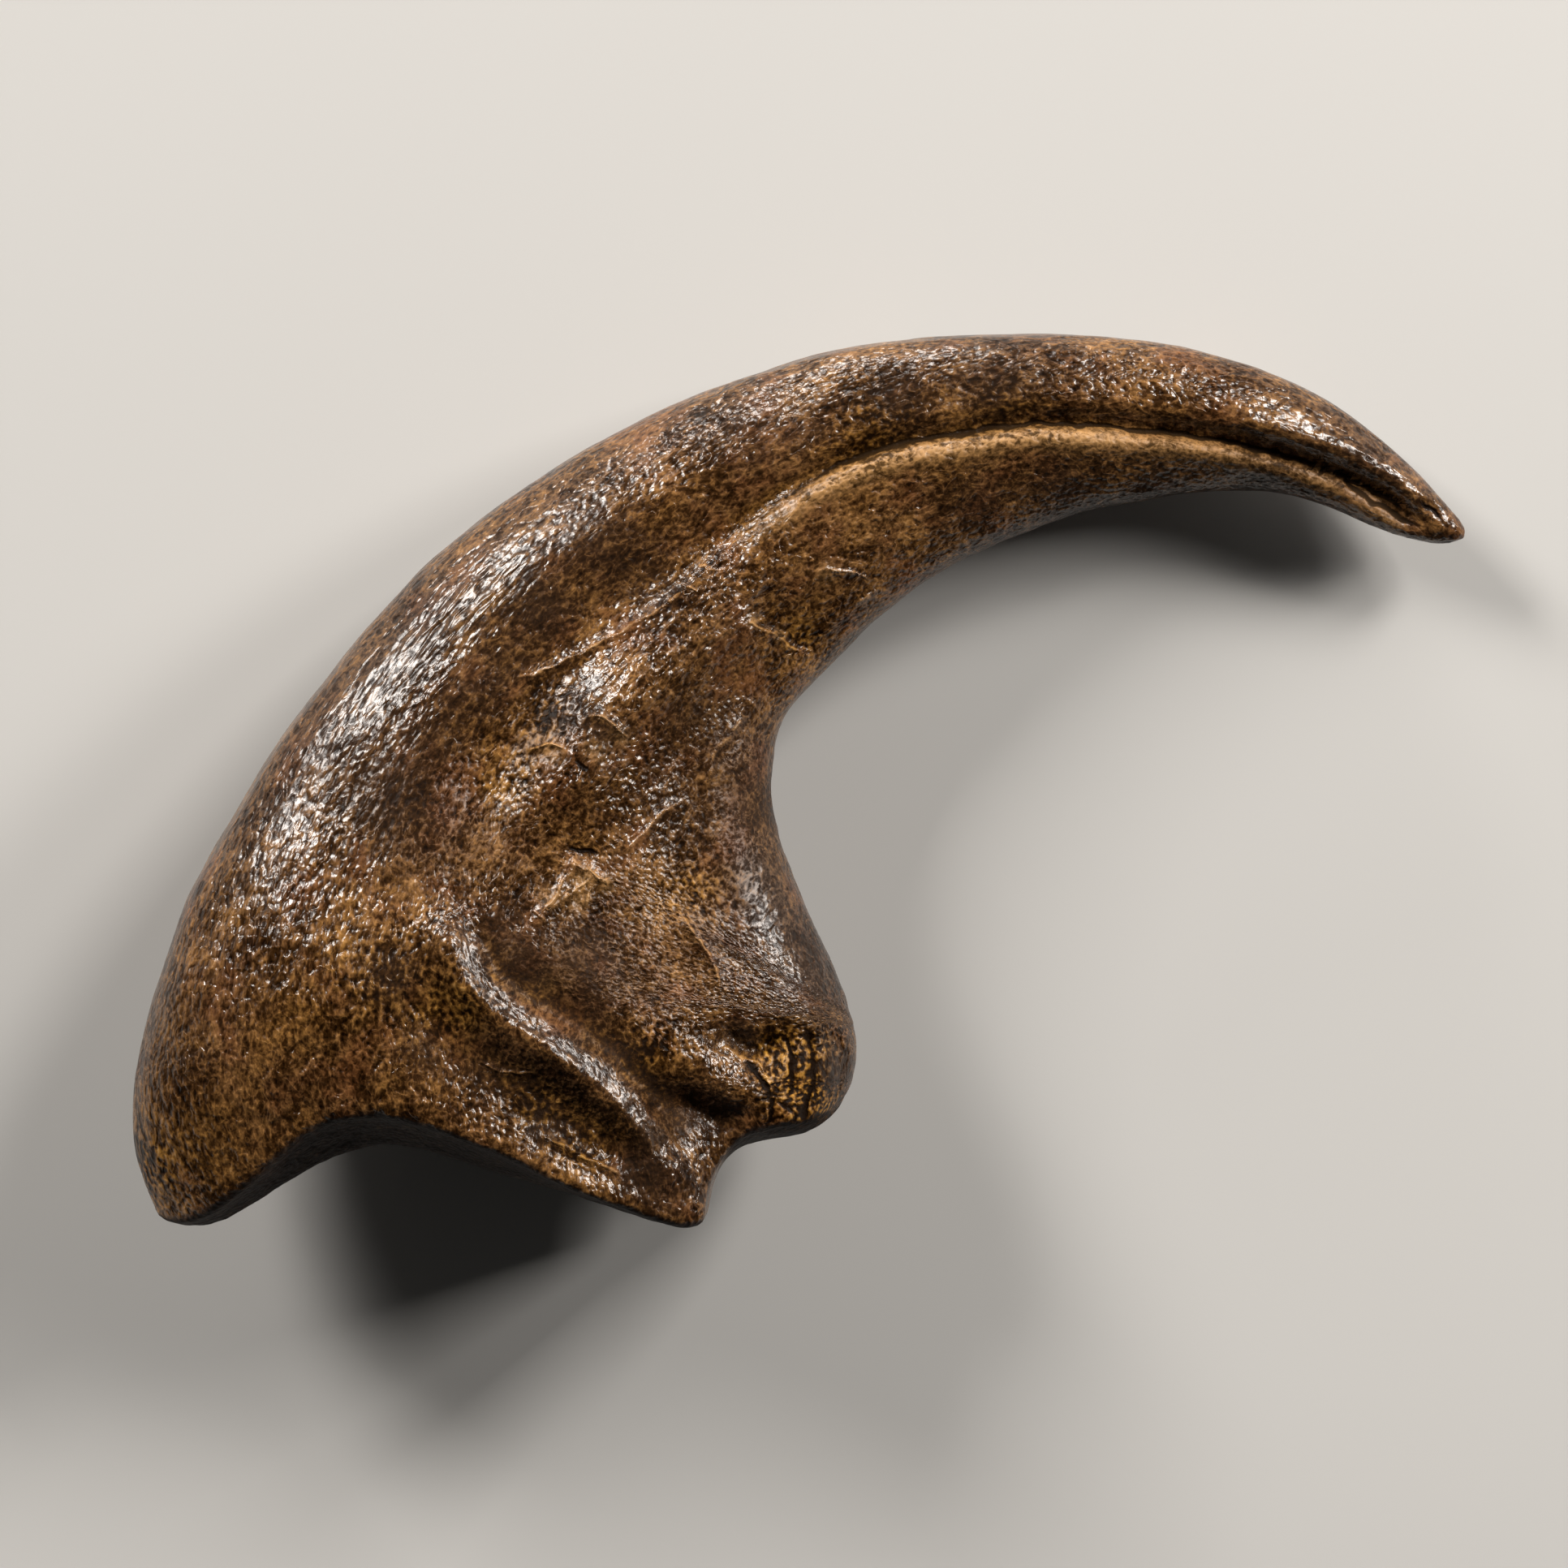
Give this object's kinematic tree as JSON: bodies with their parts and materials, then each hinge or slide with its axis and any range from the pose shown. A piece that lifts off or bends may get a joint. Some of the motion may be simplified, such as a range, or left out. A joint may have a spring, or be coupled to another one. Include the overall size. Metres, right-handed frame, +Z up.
{
  "type": "dinosaur claw fossil",
  "caption": "Curved fossil hand claw of a large predatory dinosaur, lying on its side, with grooved flanks, a hollow joint face at the base and a knobbly tendon boss.",
  "frame": {"origin": "middle of the claw's bounding box in X and Y, on the table it rests on", "axes": "+X towards the tip, +Y towards the curved back, +Z up through the flank that faces up"},
  "size_m": [0.1802, 0.1206, 0.0432],
  "materials": {
    "fossil_bone": "half gloss, dark brown, fine grained"
  },
  "bodies": {
    "root": {"claw": "fossil_bone"}
  },
  "joints": []
}
